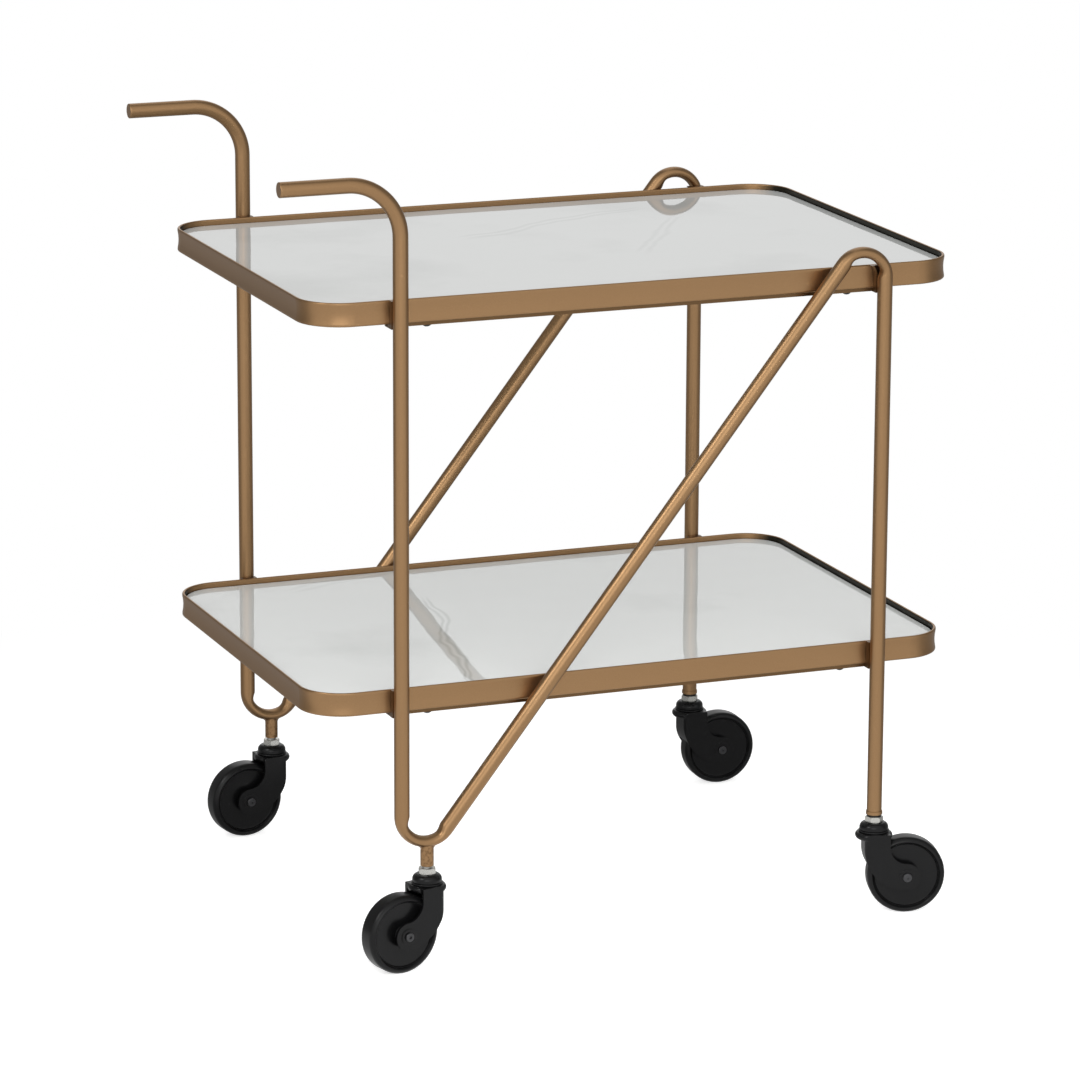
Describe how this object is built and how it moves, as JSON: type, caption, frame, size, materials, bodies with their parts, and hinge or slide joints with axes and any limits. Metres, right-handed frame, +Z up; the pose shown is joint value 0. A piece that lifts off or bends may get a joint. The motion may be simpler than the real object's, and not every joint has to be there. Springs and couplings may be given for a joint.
{
  "type": "dessert trolley",
  "caption": "Two-tier serving trolley: bent tube side frames with hook handles, framed marble-look glass trays and swivel casters.",
  "frame": {"origin": "on the floor, midway between the handle ends and the far end of the trays, in the middle of the width", "axes": "+Z up, +X along the trays away from the handles, +Y across the trays to the rear side as pictured"},
  "size_m": [0.757, 0.5558, 0.835],
  "materials": {
    "brass_lacquer": "satin antique brass lacquer",
    "brass_lacquer_inner": "satin antique brass lacquer, thinner on inner faces",
    "marbled_glass": "polished, back-printed in a soft grey marble veining",
    "zinc": "bright zinc plate",
    "steel": "plain steel",
    "black_plastic": "moulded black nylon, low gloss",
    "tyre": "smooth black polyurethane",
    "clear_pad": "clear soft bumper"
  },
  "bodies": {
    "root": {"side_frame_front": "brass_lacquer", "side_frame_rear": "brass_lacquer", "handle_caps": "brass_lacquer", "caster_stubs": "brass_lacquer", "leg_inserts": "brass_lacquer", "upper_rim": "brass_lacquer", "lower_rim": "brass_lacquer", "upper_glass": "marbled_glass", "lower_glass": "marbled_glass", "upper_rail_front": "brass_lacquer_inner", "upper_rail_rear": "brass_lacquer_inner", "lower_rail_front": "brass_lacquer_inner", "lower_rail_rear": "brass_lacquer_inner", "upper_brackets": "brass_lacquer_inner", "lower_brackets": "brass_lacquer_inner", "upper_tray_screws": "steel", "lower_tray_screws": "steel", "upper_glass_pads": "clear_pad", "lower_glass_pads": "clear_pad", "caster_stems": "zinc", "stem_nuts": "zinc", "caster_cap_front_left": "black_plastic", "caster_cap_front_right": "black_plastic", "caster_cap_rear_left": "black_plastic", "caster_cap_rear_right": "black_plastic"},
    "swivel_front_left": {"swivel_balls_front_left": "steel", "dust_ring_front_left": "black_plastic", "fork_front_left": "black_plastic", "axle_bolt_front_left": "steel", "axle_nut_front_left": "zinc", "axle_bush_front_left": "steel"},
    "wheel_front_left": {"wheel_core_front_left": "black_plastic", "tyre_front_left": "tyre"},
    "swivel_front_right": {"swivel_balls_front_right": "steel", "dust_ring_front_right": "black_plastic", "fork_front_right": "black_plastic", "axle_bolt_front_right": "steel", "axle_nut_front_right": "zinc", "axle_bush_front_right": "steel"},
    "wheel_front_right": {"wheel_core_front_right": "black_plastic", "tyre_front_right": "tyre"},
    "swivel_rear_left": {"swivel_balls_rear_left": "steel", "dust_ring_rear_left": "black_plastic", "fork_rear_left": "black_plastic", "axle_bolt_rear_left": "steel", "axle_nut_rear_left": "zinc", "axle_bush_rear_left": "steel"},
    "wheel_rear_left": {"wheel_core_rear_left": "black_plastic", "tyre_rear_left": "tyre"},
    "swivel_rear_right": {"swivel_balls_rear_right": "steel", "dust_ring_rear_right": "black_plastic", "fork_rear_right": "black_plastic", "axle_bolt_rear_right": "steel", "axle_nut_rear_right": "zinc", "axle_bush_rear_right": "steel"},
    "wheel_rear_right": {"wheel_core_rear_right": "black_plastic", "tyre_rear_right": "tyre"}
  },
  "joints": [
    {"name": "swivel_front_left", "type": "hinge", "parent": "root", "child": "swivel_front_left", "pos_m": [-0.2225, -0.252, 0.084], "axis": [0, 0, 1], "continuous": true},
    {"name": "spin_front_left", "type": "hinge", "parent": "swivel_front_left", "child": "wheel_front_left", "pos_m": [-0.25598, -0.26035, 0.042], "axis": [0.2419, -0.9703, 0], "continuous": true},
    {"name": "swivel_front_right", "type": "hinge", "parent": "root", "child": "swivel_front_right", "pos_m": [0.287, -0.252, 0.084], "axis": [0, 0, 1], "continuous": true},
    {"name": "spin_front_right", "type": "hinge", "parent": "swivel_front_right", "child": "wheel_front_right", "pos_m": [0.32016, -0.26151, 0.042], "axis": [0.2756, 0.9613, 0], "continuous": true},
    {"name": "swivel_rear_left", "type": "hinge", "parent": "root", "child": "swivel_rear_left", "pos_m": [-0.2225, 0.252, 0.084], "axis": [0, 0, 1], "continuous": true},
    {"name": "spin_rear_left", "type": "hinge", "parent": "swivel_rear_left", "child": "wheel_rear_left", "pos_m": [-0.25674, 0.2478, 0.042], "axis": [0.1219, -0.9925, 0], "continuous": true},
    {"name": "swivel_rear_right", "type": "hinge", "parent": "root", "child": "swivel_rear_right", "pos_m": [0.287, 0.252, 0.084], "axis": [0, 0, 1], "continuous": true},
    {"name": "spin_rear_right", "type": "hinge", "parent": "swivel_rear_right", "child": "wheel_rear_right", "pos_m": [0.32145, 0.25019, 0.042], "axis": [0.0523, 0.9986, 0], "continuous": true}
  ]
}
